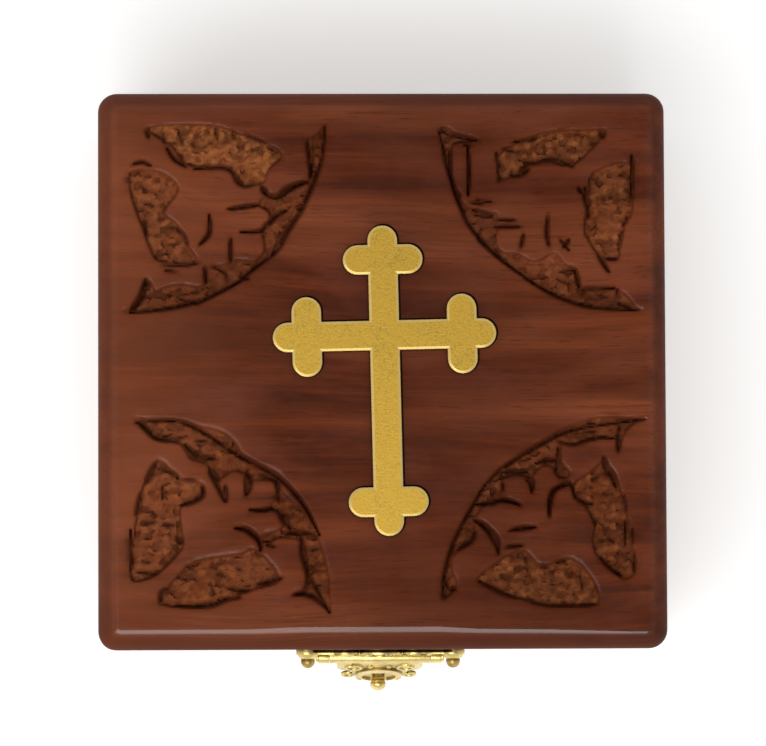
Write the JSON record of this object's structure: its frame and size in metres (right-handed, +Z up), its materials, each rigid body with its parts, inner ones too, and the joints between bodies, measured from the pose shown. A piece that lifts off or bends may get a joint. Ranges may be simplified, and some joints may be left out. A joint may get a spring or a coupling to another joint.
{
  "type": "hinged keepsake box",
  "caption": "Square hardwood keepsake box with a hinged lid, carved leaf corners, an inlaid brass budded cross and a swinging brass latch.",
  "frame": {"origin": "under the middle of the wooden box, on the surface that it stands on", "axes": "+X to the right as the latch is faced, +Y from the latch at the front to the hinges at the back, +Z up"},
  "size_m": [0.102, 0.1085, 0.0555],
  "materials": {
    "rosewood": "satin oiled reddish-brown hardwood",
    "bottom_board": "plain hardwood",
    "velvet": "burgundy velvet",
    "cross_brass": "brushed brass",
    "hinge_brass": "plain brass",
    "latch_brass": "stamped antiqued brass"
  },
  "bodies": {
    "base": {"base_front_wall": "rosewood", "base_back_wall": "rosewood", "base_left_wall": "rosewood", "base_right_wall": "rosewood", "base_bottom_panel": "bottom_board", "base_floor_lining": "velvet", "base_front_lining": "velvet", "base_back_lining": "velvet", "base_left_lining": "velvet", "base_right_lining": "velvet", "hinge_left_base_leaf": "hinge_brass", "hinge_left_pin": "hinge_brass", "hinge_right_base_leaf": "hinge_brass", "hinge_right_pin": "hinge_brass", "hinge_base_nails": "hinge_brass", "catch_plate": "latch_brass", "catch_staple": "latch_brass", "catch_nails": "latch_brass"},
    "lid": {"lid_top_panel": "rosewood", "lid_front_rail": "rosewood", "lid_back_rail": "rosewood", "lid_left_rail": "rosewood", "lid_right_rail": "rosewood", "lid_lining": "velvet", "brass_cross": "cross_brass", "hinge_left_lid_leaf": "hinge_brass", "hinge_right_lid_leaf": "hinge_brass", "hinge_lid_nails": "hinge_brass", "latch_plate": "latch_brass", "latch_pin": "latch_brass", "latch_nails": "latch_brass"},
    "hasp": {"latch_hasp": "latch_brass", "hasp_knob": "latch_brass"}
  },
  "joints": [
    {"name": "lid_hinge", "type": "hinge", "parent": "base", "child": "lid", "pos_m": [0, 0.049, 0.0381], "axis": [-1, 0, 0], "range_deg": [0, 100]},
    {"name": "hasp_swing", "type": "hinge", "parent": "lid", "child": "hasp", "pos_m": [-0.00035, -0.05135, 0.0406], "axis": [-1, 0, 0], "range_deg": [-14, 126]}
  ]
}
